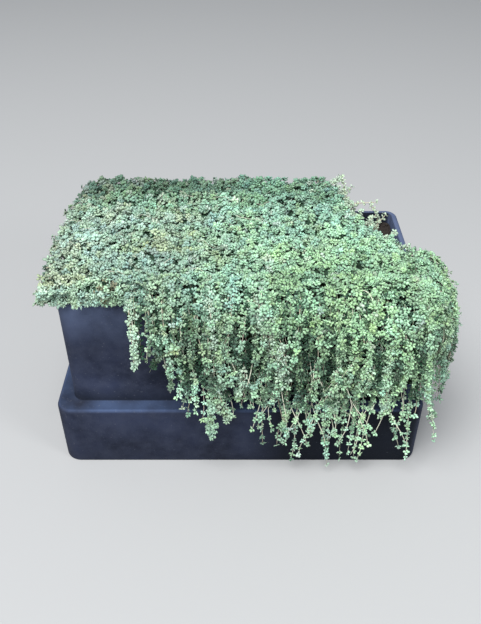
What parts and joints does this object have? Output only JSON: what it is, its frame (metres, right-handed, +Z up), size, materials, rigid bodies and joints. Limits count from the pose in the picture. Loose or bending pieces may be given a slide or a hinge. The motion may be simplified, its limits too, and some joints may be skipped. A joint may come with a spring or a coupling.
{
  "type": "potted woolly thyme",
  "caption": "Woolly thyme that mats over the top of a deep stepped trough and trails in a curtain down its front.",
  "frame": {"origin": "centre of the trough's flat base", "axes": "+X along the trough's length to the right as seen from the front, +Y towards the back, +Z up; the curtain hangs on the -Y side"},
  "size_m": [0.5236, 0.3102, 0.3357],
  "materials": {
    "trough_cast": "matte, cast, slate blue",
    "soil": "loose, dark",
    "leaf": "matte, woolly, silvery grey-green",
    "young_leaf": "matte, woolly, pale green"
  },
  "bodies": {
    "root": {"cushion_01": "leaf", "cushion_02": "leaf", "cushion_03": "leaf", "cushion_04": "leaf", "cushion_05": "leaf", "cushion_06": "leaf", "cushion_07": "leaf", "cushion_08": "leaf", "cushion_09": "leaf", "cushion_10": "leaf", "cushion_11": "leaf", "cushion_12": "leaf", "cushion_13": "leaf", "cushion_14": "leaf", "cushion_15": "leaf", "cushion_16": "leaf", "cushion_17": "leaf", "trailing_bunch_01": "leaf", "trailing_bunch_02": "leaf", "trailing_bunch_03": "leaf", "trailing_bunch_04": "leaf", "trailing_bunch_05": "leaf", "trailing_bunch_06": "leaf", "trailing_bunch_07": "leaf", "trailing_bunch_08": "leaf", "trailing_bunch_09": "leaf", "trailing_bunch_10": "leaf", "trailing_bunch_11": "leaf", "trailing_bunch_12": "leaf", "trailing_bunch_13": "leaf", "trailing_bunch_14": "leaf", "upright_shoot_01": "young_leaf", "upright_shoot_02": "young_leaf", "upright_shoot_03": "young_leaf", "trough": "trough_cast", "soil": "soil"}
  },
  "joints": []
}
